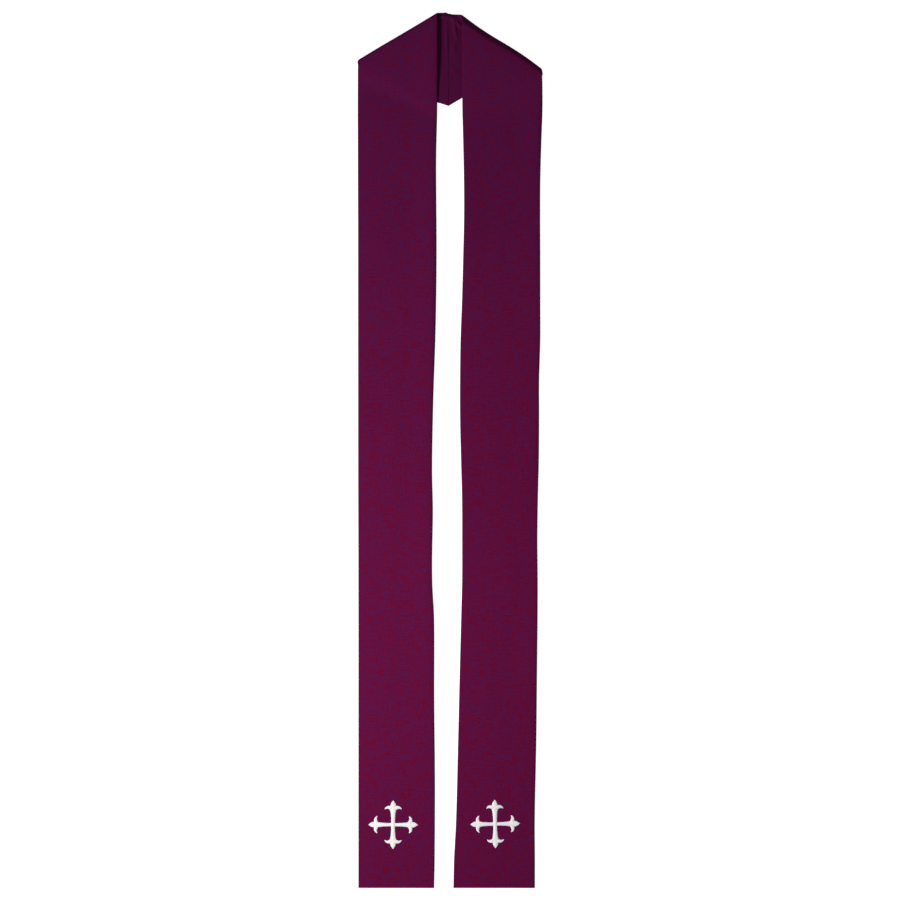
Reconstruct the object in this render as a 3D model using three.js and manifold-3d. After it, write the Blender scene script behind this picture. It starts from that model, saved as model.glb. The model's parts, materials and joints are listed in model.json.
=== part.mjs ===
// A clergy stole laid flat with its fronts up. Two long lined bands are mitred together at the back
// of the neck, fold over at the shoulders in a soft roll, and lie side by side down to the hems.
// Each has an embroidered cross near its hem.
//
// Millimetres. Seen from above, +X is to the right and +Y runs from the hems to the neck. +Z is up.
// The origin is on the surface that the stole lies on, under the middle of the garment.

import * as THREE from 'three';
import Module from 'manifold-3d';

// Finishes
const PLUM_CLOTH = new THREE.MeshStandardMaterial({ color: 0x62103f, roughness: 0.85, metalness: 0 });
const PLUM_LINING = new THREE.MeshStandardMaterial({ color: 0x551037, roughness: 0.7, metalness: 0 });
const WHITE_THREAD = new THREE.MeshStandardMaterial({ color: 0xf1ebe6, roughness: 0.45, metalness: 0 });

// The cloth
const FACE_WALL = 1.2; // face cloth and its interlining
const LINING_WALL = 1.0;
const GAP = 0.3; // between pieces that are sewn together or lie on each other
const BAND = FACE_WALL + GAP + LINING_WALL; // one band's whole thickness
const EDGE_TURN = 0.7; // how far a turned edge stands out past the faces
const LINING_INSET = 1.6; // how far the lining is set in from the face cloth's edge

// The made-up garment, seen from above
const HEM_Y = -662.0;
const FAN_Y = 470.0; // below this the rows lie straight across, above it they turn towards the fold
const SEAM_X = -2.0; // the centre-back seam
const SEAM_TOP_Y = 659.4;
const SEAM_FOOT_Y = 520.0;
const CREST_GAP = 0.45; // between back and front at the crest, which leaves about 0.3 inside the fold
const BACK_REST = 2.5; // how far past the back's lower edge the front still lies at its full height
const BACK_EASE = 24.0; // how far it then takes to come down to the surface

// How many steps the wall is made in
const ACROSS = 6;
const BACK_STEPS = 3;
const HALF_ROLL_STEPS = 4;
const FAN_STEPS = 7;
const FRONT_STEP = 40.0;

// Each band has these rows and sizes.
//   front   its two edges on the front, a row for each height from the shoulder down to the hem
//   crest   the shoulder fold as it shows from above, at the shoulder tip and at the neck
//   sway    how far the fold's line bows in near the neck, and out near the tip
//   roll    the radius of the fold's loop at the tip and at the neck, to the middle of the wall
//   settle  how far from the fold the front has come down onto the back half, at the tip and at the neck
//   drift   how much further the neck edge runs towards the centre seam behind the fold than straight
//   knee    where the back's lower edge turns towards the seam, with the upper edge's point above it
//   waves   where an edge lifts a little: its middle, edge, height, length, and how far in it reaches
const BANDS = {
  left: {
    side: -1,
    front: [
      { y: 590, outer: -138.7, inner: -19.3 },
      { y: 562, outer: -139.3, inner: -19.4 },
      { y: 514, outer: -139.5, inner: -19.6 },
      { y: 438, outer: -139.3, inner: -21.3 },
      { y: 317, outer: -139.0, inner: -20.7 },
      { y: 242, outer: -139.0, inner: -21.1 },
      { y: 166, outer: -139.0, inner: -22.6 },
      { y: 76, outer: -138.9, inner: -25.6 },
      { y: -30, outer: -138.9, inner: -27.3 },
      { y: -91, outer: -138.8, inner: -26.2 },
      { y: -166, outer: -138.6, inner: -27.4 },
      { y: -204, outer: -138.6, inner: -27.0 },
      { y: -257, outer: -138.5, inner: -24.3 },
      { y: -378, outer: -138.5, inner: -24.1 },
      { y: -499, outer: -138.5, inner: -22.9 },
      { y: -620, outer: -138.5, inner: -23.3 },
      { y: -662, outer: -138.5, inner: -24.1 },
    ],
    crest: { tip: [-139.2, 588.8], neck: [-18.6, 660.6] },
    sway: 0.2,
    roll: { tip: 3.2, neck: 4.6 },
    settle: { tip: 36, neck: 125 },
    drift: 7.0,
    knee: { lower: [-18.4, 525.1], upper: [-4.6, 660.9] },
    waves: [
      { y: -128, edge: 'inner', height: 1.2, length: 220, reach: 40 },
      { y: 60, edge: 'outer', height: 0.9, length: 190, reach: 34 },
    ],
  },
  right: {
    side: 1,
    front: [
      { y: 576, outer: 138.7, inner: 18.3 },
      { y: 548, outer: 139.3, inner: 18.4 },
      { y: 514, outer: 139.4, inner: 18.6 },
      { y: 469, outer: 137.8, inner: 19.8 },
      { y: 408, outer: 136.2, inner: 21.0 },
      { y: 348, outer: 136.0, inner: 21.1 },
      { y: 287, outer: 136.1, inner: 19.7 },
      { y: 227, outer: 136.1, inner: 18.1 },
      { y: 166, outer: 136.1, inner: 15.9 },
      { y: 106, outer: 134.4, inner: 15.1 },
      { y: 45, outer: 134.4, inner: 15.2 },
      { y: -15, outer: 134.0, inner: 16.6 },
      { y: -76, outer: 132.6, inner: 18.1 },
      { y: -136, outer: 131.9, inner: 18.3 },
      { y: -197, outer: 132.4, inner: 18.2 },
      { y: -257, outer: 132.1, inner: 16.7 },
      { y: -318, outer: 131.4, inner: 15.1 },
      { y: -438, outer: 130.2, inner: 12.2 },
      { y: -559, outer: 127.9, inner: 9.1 },
      { y: -620, outer: 128.2, inner: 6.0 },
      { y: -662, outer: 128.1, inner: 5.1 },
    ],
    crest: { tip: [139.4, 575.0], neck: [17.2, 657.6] },
    sway: 1.4,
    roll: { tip: 3.8, neck: 5.8 },
    settle: { tip: 44, neck: 150 },
    drift: 6.0,
    knee: { lower: [17.8, 531.8], upper: [0.6, 659.4] },
    waves: [
      { y: 352, edge: 'inner', height: 2.0, length: 240, reach: 46 },
      { y: -70, edge: 'inner', height: 1.0, length: 200, reach: 38 },
      { y: -300, edge: 'outer', height: 1.1, length: 220, reach: 36 },
    ],
  },
};

// A band's layers, as heights from the middle of its thickness. The edge is where its faces meet.
const FACE_CLOTH = {
  ending: '',
  material: PLUM_CLOTH,
  top: BAND / 2,
  bottom: BAND / 2 - FACE_WALL,
  edge: 0.25,
  inset: 0,
};
const LINING = {
  ending: '_lining',
  material: PLUM_LINING,
  top: LINING_WALL - BAND / 2,
  bottom: -BAND / 2,
  edge: -0.65,
  inset: LINING_INSET,
};

// The embroidered crosses
const CROSSES = [
  { side: 'left', at: [-85.9, -566.1], turn: -0.3 },
  { side: 'right', at: [68.3, -565.0], turn: 1.1 },
];
const OUTLINE_LIFT = 0.5; // height of the stitching at its outline
const BAR_CROWN = 1.0; // how far the crossbar rises above that
const UPRIGHT_CROWN = 1.3; // the same for the upright, which is stitched over it
const FULL_CROWN_WIDTH = 6.0; // narrower stitching is lower
const DOME_STEPS = 4;
const ARMS = [
  { turn: 0, length: 37.2, crown: BAR_CROWN },
  { turn: 180, length: 37.2, crown: BAR_CROWN },
  { turn: 90, length: 36.5, crown: UPRIGHT_CROWN },
  { turn: 270, length: 36.5, crown: UPRIGHT_CROWN },
];

// An arm's stitched shapes, drawn along +X from the middle of the cross for an arm of ARM_DRAWN.
// Each row is a point on the shape's spine and half the shape's width there.
const ARM_DRAWN = 37.0;
const STEM = [
  { along: -2.5, aside: 0, half: 3.0 },
  { along: 10.0, aside: 0, half: 3.2 },
  { along: 19.0, aside: 0, half: 4.0 },
  { along: 24.0, aside: 0, half: 5.0 },
  { along: 29.0, aside: 0, half: 3.4 },
];
const LEAF = [
  { along: 25.5, aside: 0, half: 2.4 },
  { along: 29.4, aside: 0, half: 4.2 },
  { along: 33.0, aside: 0, half: 3.3 },
  { along: 35.4, aside: 0, half: 1.6 },
  { along: ARM_DRAWN, aside: 0, half: 0.3 },
];
const BARB = [
  { along: 25.1, aside: 2.4, half: 3.0 },
  { along: 26.2, aside: 5.6, half: 2.8 },
  { along: 26.4, aside: 8.4, half: 2.1 },
  { along: 25.4, aside: 10.8, half: 1.4 },
  { along: 23.8, aside: 12.7, half: 0.3 },
];

const mix = THREE.MathUtils.lerp;
const ease = (share) => THREE.MathUtils.smoothstep(share, 0, 1);
const shares = (count) => Array.from({ length: count + 1 }, (_, i) => i / count);

// A front edge's x at a height, on a smooth curve through the table's rows.
function edgeX(band, edge, y) {
  const rows = band.front;
  const row = (i) => rows[THREE.MathUtils.clamp(i, 0, rows.length - 1)];
  const below = Math.max(1, rows.findIndex((each) => each.y <= y));
  const [upper, lower] = [row(below - 1), row(below)];
  const slope = (a, b) => (a === b ? 0 : (b[edge] - a[edge]) / (b.y - a.y));
  const t = THREE.MathUtils.clamp((y - upper.y) / (lower.y - upper.y), 0, 1);
  const leave = slope(row(below - 2), lower) * (lower.y - upper.y);
  const arrive = slope(upper, row(below + 1)) * (lower.y - upper.y);
  const bend = lower[edge] - upper[edge];
  const square = 3 * bend - 2 * leave - arrive;
  const cube = leave + arrive - 2 * bend;
  return upper[edge] + t * leave + t ** 2 * square + t ** 3 * cube;
}

// The shoulder fold's own directions: along it from neck to tip, and out from the garment.
function foldOf({ crest, side }) {
  const neck = new THREE.Vector2(...crest.neck);
  const along = new THREE.Vector2(...crest.tip).sub(neck);
  const length = along.length();
  along.normalize();
  const out = new THREE.Vector2(-along.y, along.x).multiplyScalar(side);
  return { neck, along, out, length };
}

// A point of the fold's loop, at a share of the way from tip to neck. The turn is -90 degrees on the
// back, 0 at the crest and 90 on the front. The band slants across the fold, so its edges move along
// the fold as they go round.
function rollPoint(band, turn, toNeck) {
  const { neck, along, out, length } = foldOf(band);
  const radius = mix(band.roll.tip, band.roll.neck, toNeck);
  const angle = THREE.MathUtils.degToRad(turn);
  const slant = Math.abs(along.y / along.x) * radius * angle;
  const drift = turn < 0 ? band.drift * toNeck * (1 - Math.cos(angle)) : 0;
  const run = length * (1 - toNeck) + slant - drift;
  const inward = radius * (1 - Math.cos(angle)) + BAND / 2 - band.sway * Math.sin(2 * Math.PI * toNeck);
  return new THREE.Vector3(
    neck.x + along.x * run - out.x * inward,
    neck.y + along.y * run - out.y * inward,
    BAND / 2 + radius * (1 + Math.sin(angle))
  );
}

// How far the front is raised by the back half under it.
function raisedByBack({ crest, knee }, x, y) {
  const [tipX, tipY] = crest.tip;
  const slope = (knee.lower[1] - tipY) / (knee.lower[0] - tipX);
  const above = (y - tipY - slope * (x - tipX)) / Math.hypot(1, slope);
  return (BAND + GAP) * ease(1 + (above + BACK_REST) / BACK_EASE);
}

// How far a front edge's small waves lift it.
function raisedByWaves(band, x, y) {
  return band.waves.reduce((sum, { y: middle, edge, height, length, reach }) => {
    const along = 1 - Math.abs(y - middle) / (length / 2);
    const inward = 1 - Math.abs(x - edgeX(band, edge, y)) / reach;
    return sum + height * ease(along) * ease(inward);
  }, 0);
}

// The height of the middle of the front's wall.
function frontHeight(band, x, y) {
  const { neck, along, out, length } = foldOf(band);
  const toNeck = THREE.MathUtils.clamp(1 - (x - neck.x) / (length * along.x), 0, 1);
  const loop = 2 * mix(band.roll.tip, band.roll.neck, toNeck);
  const fromCrest = (neck.x - x) * out.x + (neck.y - y) * out.y - loop / 2 - BAND / 2;
  const onBack = raisedByBack(band, x, y);
  const fold = (loop - onBack) * ease(1 - fromCrest / mix(band.settle.tip, band.settle.neck, toNeck));
  return BAND / 2 + onBack + fold + raisedByWaves(band, x, y);
}

// The rows of a band from the centre seam over the shoulder to the hem. It is parted into a back and a
// front at the crest of the fold. Each row gives its point at a share of the way from tip to neck.
function bandRows(band, inset) {
  const flatRow = (lower, upper) => (toNeck) =>
    new THREE.Vector3(mix(lower[0], upper[0], toNeck), mix(lower[1], upper[1], toNeck), BAND / 2);
  const between = (from, to, share) => (toNeck) => from(toNeck).lerp(to(toNeck), share);
  const seamX = SEAM_X + (band.side * GAP) / 2;
  const seam = flatRow([seamX, SEAM_FOOT_Y], [seamX, SEAM_TOP_Y]);
  const knee = flatRow(band.knee.lower, band.knee.upper);

  const turnOver = (distance, toNeck) =>
    THREE.MathUtils.radToDeg(distance / mix(band.roll.tip, band.roll.neck, toNeck));
  const backRoll = (share, gap) => (toNeck) =>
    rollPoint(band, mix(-90, -turnOver(gap, toNeck), share), toNeck);
  const frontRoll = (share) => (toNeck) =>
    rollPoint(band, mix(turnOver(EDGE_TURN, toNeck), 90, share), toNeck);
  const loopEnd = [rollPoint(band, 90, 0).y, rollPoint(band, 90, 1).y];

  const frontRow = (outerY, innerY) => (toNeck) => {
    const x = mix(edgeX(band, 'outer', outerY), edgeX(band, 'inner', innerY), toNeck);
    const y = mix(outerY, innerY, toNeck);
    return new THREE.Vector3(x, y, frontHeight(band, x, y));
  };
  const fanRow = (share) => frontRow(...loopEnd.map((y) => mix(y, FAN_Y, share)));
  const straightRow = (y) => frontRow(y, y);
  const hemY = HEM_Y + inset;
  const lastStraight = Math.round((FAN_Y - hemY) / FRONT_STEP);
  return {
    back: [
      seam,
      between(seam, knee, EDGE_TURN / Math.abs(band.knee.lower[0] - seamX)),
      knee,
      ...shares(BACK_STEPS).slice(1, -1).map((share) => between(knee, backRoll(0, 0), share)),
      ...shares(HALF_ROLL_STEPS).map((share) => backRoll(share, CREST_GAP + EDGE_TURN)),
      backRoll(1, CREST_GAP),
    ],
    front: [
      (toNeck) => rollPoint(band, 0, toNeck),
      ...shares(HALF_ROLL_STEPS).map(frontRoll),
      ...shares(FAN_STEPS).slice(1).map(fanRow),
      ...shares(lastStraight).slice(1, -1).map((share) => straightRow(mix(FAN_Y, hemY, share))),
      straightRow(hemY + EDGE_TURN),
      straightRow(hemY),
    ],
  };
}

// A layer's rows as a grid of points on the middle of the band's thickness, with a column for each
// place across it.
function layerGrid(band, rows, inset) {
  return rows.map((row) => {
    const width = row(0).distanceTo(row(1));
    const [edge, face] = [inset / width, (inset + EDGE_TURN) / width];
    const across = [edge, ...shares(ACROSS).map((share) => mix(face, 1 - face, share)), 1 - edge];
    return across.map((share) => row(band.side < 0 ? share : 1 - share));
  });
}

// A closed wall between two heights from a grid's middle surface. Its faces meet in a blunt edge.
function wallGeometry(grid, { top, bottom, edge }) {
  const last = { row: grid.length - 1, column: grid[0].length - 1 };
  const positions = [];
  const store = (point) => positions.push(point.x, point.y, point.z) / 3 - 1;
  const cells = grid.map((row, i) =>
    row.map((middle, j) => {
      const down = grid[Math.min(i + 1, last.row)][j].clone().sub(grid[Math.max(i - 1, 0)][j]);
      const across = row[Math.min(j + 1, last.column)].clone().sub(row[Math.max(j - 1, 0)]);
      const up = down.cross(across).normalize();
      const at = (height) => store(middle.clone().addScaledVector(up, height));
      if (i === 0 || j === 0 || i === last.row || j === last.column) {
        const shared = at(edge);
        return { top: shared, bottom: shared };
      }
      return { top: at(top), bottom: at(bottom) };
    })
  );
  const triangles = [];
  for (let i = 0; i < last.row; i++) {
    for (let j = 0; j < last.column; j++) {
      const [a, b, c, d] = [cells[i][j], cells[i + 1][j], cells[i + 1][j + 1], cells[i][j + 1]];
      triangles.push(a.top, b.top, c.top, a.top, c.top, d.top);
      triangles.push(a.bottom, c.bottom, b.bottom, a.bottom, d.bottom, c.bottom);
    }
  }
  return indexedGeometry(positions, triangles);
}

function indexedGeometry(positions, triangles) {
  const geometry = new THREE.BufferGeometry();
  geometry.setAttribute('position', new THREE.Float32BufferAttribute(positions, 3));
  geometry.setIndex(triangles);
  return geometry;
}

// A stitched shape on a flat base: a wall at its outline and a dome over it, along its rows' spine.
function stitchedSolid(wasm, rows, crown) {
  const spine = rows.map(({ along, aside }) => new THREE.Vector2(along, aside));
  const positions = rows.flatMap(({ half }, i) => {
    const [before, after] = [spine[Math.max(i - 1, 0)], spine[Math.min(i + 1, rows.length - 1)]];
    const heading = after.clone().sub(before).normalize();
    const height = crown * Math.min(1, (2 * half) / FULL_CROWN_WIDTH);
    const dome = shares(DOME_STEPS).map((share) => {
      const angle = share * Math.PI;
      return [half * Math.cos(angle), OUTLINE_LIFT + height * Math.sin(angle)];
    });
    return [[half, 0], ...dome, [-half, 0]].flatMap(([offset, z]) => [
      spine[i].x - heading.y * offset,
      spine[i].y + heading.x * offset,
      z,
    ]);
  });
  const around = DOME_STEPS + 3;
  const end = (rows.length - 1) * around;
  const triangles = [];
  for (let row = 0; row < end; row += around) {
    for (let j = 0; j < around; j++) {
      const [a, b] = [row + j, row + ((j + 1) % around)];
      triangles.push(a, b, b + around, a, b + around, a + around);
    }
  }
  for (let j = 1; j + 1 < around; j++) {
    triangles.push(0, j + 1, j, end, end + j, end + j + 1);
  }
  const mesh = new wasm.Mesh({
    numProp: 3,
    vertProperties: new Float32Array(positions),
    triVerts: new Uint32Array(triangles),
  });
  return new wasm.Manifold(mesh);
}

// The cross with its middle at the origin and its base at 0. Both sides of an arm's end have a barb.
function crossSolid(wasm) {
  const mirrored = BARB.map((row) => ({ ...row, aside: -row.aside }));
  const shapes = ARMS.flatMap(({ turn, length, crown }) =>
    [STEM, LEAF, BARB, mirrored].map((rows) => {
      const stretched = rows.map((row) => ({ ...row, along: (row.along * length) / ARM_DRAWN }));
      return stitchedSolid(wasm, stretched, crown).rotate([0, 0, turn]);
    })
  );
  return shapes.reduce((joined, shape) => joined.add(shape));
}

// The cross laid on its band: every point is raised by the height of the face cloth under it.
function crossGeometry(solid, { side, at, turn }) {
  const { numProp, vertProperties, triVerts } = solid.rotate([0, 0, turn]).translate([...at, 0]).getMesh();
  const positions = [];
  for (let i = 0; i < vertProperties.length; i += numProp) {
    const [x, y, z] = vertProperties.subarray(i, i + 3);
    positions.push(x, y, z + frontHeight(BANDS[side], x, y) + BAND / 2 + GAP);
  }
  return indexedGeometry(positions, Array.from(triVerts));
}

const group = new THREE.Group();

function addPiece(name, geometry, material) {
  geometry.computeVertexNormals();
  const mesh = new THREE.Mesh(geometry, material);
  mesh.name = name;
  group.add(mesh);
}

for (const [side, band] of Object.entries(BANDS)) {
  for (const { ending, material, ...layer } of [FACE_CLOTH, LINING]) {
    for (const [half, rows] of Object.entries(bandRows(band, layer.inset))) {
      const grid = layerGrid(band, rows, layer.inset);
      addPiece(`${side}_${half}${ending}`, wallGeometry(grid, layer), material);
    }
  }
}

const wasm = await Module();
wasm.setup();
const cross = crossSolid(wasm);
for (const placed of CROSSES) {
  addPiece(`${placed.side}_cross`, crossGeometry(cross, placed), WHITE_THREAD);
}

export default group;
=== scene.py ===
"""A clergy stole laid out flat with its fronts up: its face cloth, lining, stitching and crosses.

Each band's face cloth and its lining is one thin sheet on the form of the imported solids, with
turned edges, soft ripples and a woven finish. Sizes are in metres. Seen from above, +X is to the
right and +Y runs from the hems to the neck. +Z is up from the surface that the stole lies on.
"""

import json
import math

import bpy
import numpy as np
from bpy.props import FloatProperty, FloatVectorProperty, PointerProperty
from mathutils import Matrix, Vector


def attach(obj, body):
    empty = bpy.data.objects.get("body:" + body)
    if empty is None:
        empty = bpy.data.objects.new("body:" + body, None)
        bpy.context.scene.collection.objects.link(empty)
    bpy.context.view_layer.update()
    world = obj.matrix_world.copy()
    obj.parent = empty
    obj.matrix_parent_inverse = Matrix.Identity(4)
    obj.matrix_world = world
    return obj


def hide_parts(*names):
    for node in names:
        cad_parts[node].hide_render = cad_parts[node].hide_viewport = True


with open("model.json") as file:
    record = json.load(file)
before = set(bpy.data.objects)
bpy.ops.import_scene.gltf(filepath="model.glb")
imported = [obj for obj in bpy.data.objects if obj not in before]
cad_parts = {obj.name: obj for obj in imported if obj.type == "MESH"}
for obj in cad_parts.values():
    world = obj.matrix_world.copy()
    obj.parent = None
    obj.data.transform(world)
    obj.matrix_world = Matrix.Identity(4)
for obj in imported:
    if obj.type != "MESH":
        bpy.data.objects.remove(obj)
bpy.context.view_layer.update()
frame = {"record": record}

bl_info = {
    "name": "Clergy stole",
    "version": (1, 0, 0),
    "blender": (4, 5, 0),
    "location": "3D View > Sidebar > Stole",
    "description": "Dresses a clergy stole that is laid out flat in cloth, lining and embroidery",
    "category": "Object",
}

# The cloth
FACE_WALL = 0.0012
LINING_WALL = 0.0010
GAP = 0.0003
BAND = FACE_WALL + GAP + LINING_WALL
LINING_INSET = 0.0016

# The made-up garment, seen from above
HEM_Y = -0.662
FAN_Y = 0.470
SEAM_X = -0.002
SEAM_LAP = 0.00005
SEAM_TOP_Y = 0.6594
SEAM_FOOT_Y = 0.5200
BACK_REST = 0.0025
BACK_EASE = 0.024

# Each band has these rows and sizes.
#   front    its two edges on the front, as y, x of the outer edge, x of the inner edge
#   crest    the shoulder fold as it shows from above, at the shoulder tip and at the neck
#   sway     how far the fold's line bows in near the neck, and out near the tip
#   roll     the radius of the fold's loop at the tip and at the neck, to the middle of the wall
#   ridge    how far in from the fold the front's ridge lies, and how flatly cloth slopes up to it
#   settle   how far from the fold the front has come down onto the back, at the tip and at the neck
#   drift    how much further the neck edge runs towards the centre seam behind the fold
#   knee     where the back's lower edge turns towards the seam, and the upper edge's point there
#   waves    where an edge lifts a little, as y, edge, height, length, how far in it reaches
#   rims     how far an edge stands up before it rolls down, as y and height. The y rise.
#   dip      how wide the lining's dip into the centre seam is
#   ripples  soft ridges, as y, x, height, length, width, turn of its line from +X in degrees
#   flat     the width and length of the cloth that the band is cut from
#   cut      the share of that rectangle that the cut takes
BANDS = {
    "left": {
        "side": -1,
        "front": [
            (0.590, -0.1387, -0.0193),
            (0.562, -0.1393, -0.0194),
            (0.514, -0.1395, -0.0196),
            (0.438, -0.1393, -0.0213),
            (0.317, -0.1390, -0.0207),
            (0.242, -0.1390, -0.0211),
            (0.166, -0.1390, -0.0226),
            (0.076, -0.1389, -0.0256),
            (-0.030, -0.1389, -0.0273),
            (-0.091, -0.1388, -0.0262),
            (-0.166, -0.1386, -0.0274),
            (-0.204, -0.1386, -0.0270),
            (-0.257, -0.1385, -0.0243),
            (-0.378, -0.1385, -0.0241),
            (-0.499, -0.1385, -0.0229),
            (-0.620, -0.1385, -0.0233),
            (-0.662, -0.1385, -0.0241),
        ],
        "crest": {"tip": (-0.1392, 0.5888), "neck": (-0.0186, 0.6606)},
        "sway": 0.0002,
        "roll": {"tip": 0.0032, "neck": 0.0046},
        "ridge": {"tip": 0.0032, "neck": 0.0046, "flatness": 0.0},
        "settle": {"tip": 0.036, "neck": 0.125},
        "drift": 0.0070,
        "knee": {"lower": (-0.0184, 0.5251), "upper": (-0.0046, 0.6609)},
        "waves": [
            (-0.128, "inner", 0.0012, 0.220, 0.040),
            (0.060, "outer", 0.0009, 0.190, 0.034),
            (0.585, "inner", 0.0022, 0.140, 0.045),
        ],
        "rims": {
            "inner": [
                (-0.662, 0.0004), (-0.552, 0.0006), (-0.340, 0.0013), (-0.151, 0.0018),
                (0.000, 0.0011), (0.106, 0.0022), (0.242, 0.0024), (0.370, 0.0028),
                (0.476, 0.0020), (0.590, 0.0007),
            ],
        },
        "dip": 0.0015,
        "ripples": [
            (0.452, -0.062, 0.0005, 0.110, 0.040, 62),
            (0.330, -0.104, 0.0004, 0.150, 0.046, 85),
            (0.205, -0.070, 0.0004, 0.130, 0.038, 100),
            (0.020, -0.088, 0.0005, 0.120, 0.042, 78),
            (-0.160, -0.060, 0.0003, 0.140, 0.036, 95),
            (-0.345, -0.096, 0.0004, 0.160, 0.044, 88),
            (-0.480, -0.052, 0.0003, 0.100, 0.032, 70),
        ],
        "flat": (0.120, 1.400),
        "cut": 0.96,
    },
    "right": {
        "side": 1,
        "front": [
            (0.576, 0.1387, 0.0183),
            (0.548, 0.1393, 0.0184),
            (0.514, 0.1394, 0.0186),
            (0.469, 0.1378, 0.0198),
            (0.408, 0.1362, 0.0210),
            (0.348, 0.1360, 0.0211),
            (0.287, 0.1361, 0.0197),
            (0.227, 0.1361, 0.0181),
            (0.166, 0.1361, 0.0159),
            (0.106, 0.1344, 0.0151),
            (0.045, 0.1344, 0.0152),
            (-0.015, 0.1340, 0.0166),
            (-0.076, 0.1326, 0.0181),
            (-0.136, 0.1319, 0.0183),
            (-0.197, 0.1324, 0.0182),
            (-0.257, 0.1321, 0.0167),
            (-0.318, 0.1314, 0.0151),
            (-0.438, 0.1302, 0.0122),
            (-0.559, 0.1279, 0.0091),
            (-0.620, 0.1282, 0.0060),
            (-0.662, 0.1281, 0.0051),
        ],
        "crest": {"tip": (0.1394, 0.5750), "neck": (0.0172, 0.6576)},
        "sway": 0.0014,
        "roll": {"tip": 0.0038, "neck": 0.0058},
        "ridge": {"tip": 0.0056, "neck": 0.0090, "flatness": 0.85},
        "settle": {"tip": 0.044, "neck": 0.150},
        "drift": 0.0060,
        "knee": {"lower": (0.0178, 0.5318), "upper": (0.0006, 0.6594)},
        "waves": [
            (0.352, "inner", 0.0020, 0.240, 0.046),
            (-0.070, "inner", 0.0010, 0.200, 0.038),
            (-0.300, "outer", 0.0011, 0.220, 0.036),
        ],
        "rims": {
            "outer": [
                (-0.662, 0.0007), (-0.340, 0.0011), (-0.151, 0.0006), (0.000, 0.0011),
                (0.144, 0.0013), (0.242, 0.0017), (0.370, 0.0011), (0.476, 0.0022),
                (0.520, 0.0017), (0.580, 0.0000),
            ],
        },
        "dip": 0.00012,
        "ripples": [
            (0.440, 0.092, 0.0005, 0.120, 0.044, 118),
            (0.300, 0.070, 0.0004, 0.140, 0.040, 92),
            (0.150, 0.100, 0.0005, 0.130, 0.042, 104),
            (0.010, 0.060, 0.0003, 0.110, 0.034, 84),
            (-0.190, 0.088, 0.0005, 0.150, 0.046, 97),
            (-0.370, 0.055, 0.0004, 0.120, 0.038, 86),
            (-0.500, 0.098, 0.0003, 0.090, 0.032, 110),
        ],
        "flat": (0.120, 1.400),
        "cut": 0.96,
    },
}
EDGE_COLUMN = {"outer": 1, "inner": 2}

# How wide the roll from an edge up to its rim is, and how far in the rim slopes down
RIM_ROLL = 0.0070
RIM_REACH = 0.045

# Creases of the lining at the back of the neck, as y, x, height, length, width, turn. They end
# where the fold is this many degrees short of its crest.
CREASES_END = 40
NECK_CREASES = [
    (0.6360, 0.0074, 0.0018, 0.044, 0.0090, 100),
    (0.6220, -0.0048, 0.0012, 0.086, 0.0060, 91),
    (0.6060, 0.0060, 0.0013, 0.028, 0.0110, 74),
    (0.5720, 0.0060, 0.0007, 0.032, 0.0140, 125),
    (0.5560, -0.0080, 0.0004, 0.034, 0.0120, 60),
    (0.6545, -0.0100, 0.0020, 0.032, 0.0100, 2),
    (0.6526, 0.0060, 0.0016, 0.030, 0.0100, -6),
    (0.6450, 0.0112, 0.0020, 0.028, 0.0100, -34),
]

# How far apart the sheets' points are along a band, and at its edges and centre seam. The rest are
# the rows round the fold and behind it, and the columns between the edges.
STEP = 0.003
NECK_STEP = 0.0009
EDGE_STEPS = (
    0, 0.00012, 0.0004, 0.0008, 0.0012, 0.0016,
    0.0024, 0.0040, 0.0065, 0.0090, 0.0115, 0.0140,
)
SEAM_STEPS = (0, 0.0001, 0.00025, 0.0004, 0.0006, 0.0009, 0.0013, 0.0018)
ROLL_STEPS = 24
FAN_STEPS = 50
COLUMNS = 32

# Heights of the layers from the middle of a band, and the form of their edges. The turning's ridge
# slopes off over a share of its width. FAR is the distance of a row that no edge reaches.
FACE_TOP = BAND / 2
FACE_BOTTOM = BAND / 2 - FACE_WALL
LINING_TOP = LINING_WALL - BAND / 2
LINING_BOTTOM = -BAND / 2
FACE_EDGE = 0.00015
BEAD_BOTTOM = -0.00095
BEAD_WIDTH = 0.0011
BEAD_REACH = 0.0015
SEAM_DEPTH = 0.0009
TURNING_SLOPE = 0.35
FAR = 1.0

# The embroidered crosses: where they are, and how their stitching is built up. The hollows between
# threads are a share of a stitch deep, and take a share of the width.
CROSSES = {
    "left": {"at": (-0.0859, -0.5661), "turn": -0.3},
    "right": {"at": (0.0683, -0.5650), "turn": 1.1},
}
OUTLINE_LIFT = 0.0005
BAR_CROWN = 0.0010
UPRIGHT_CROWN = 0.0013
FULL_CROWN_WIDTH = 0.006
DOME_STEPS = 8
STEPS_PER_STITCH = 4
HOLLOW_DEPTH = 0.3
HOLLOW_WIDTH = 0.04
SUNK = 0.00005
ARM_DRAWN = 0.037
ARMS = [
    {"turn": 0, "length": 0.0372, "stem": 0.84, "crown": BAR_CROWN},
    {"turn": 180, "length": 0.0372, "stem": 0.84, "crown": BAR_CROWN},
    {"turn": 90, "length": 0.0365, "stem": 1.0, "crown": UPRIGHT_CROWN},
    {"turn": 270, "length": 0.0365, "stem": 1.0, "crown": UPRIGHT_CROWN},
]

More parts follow.
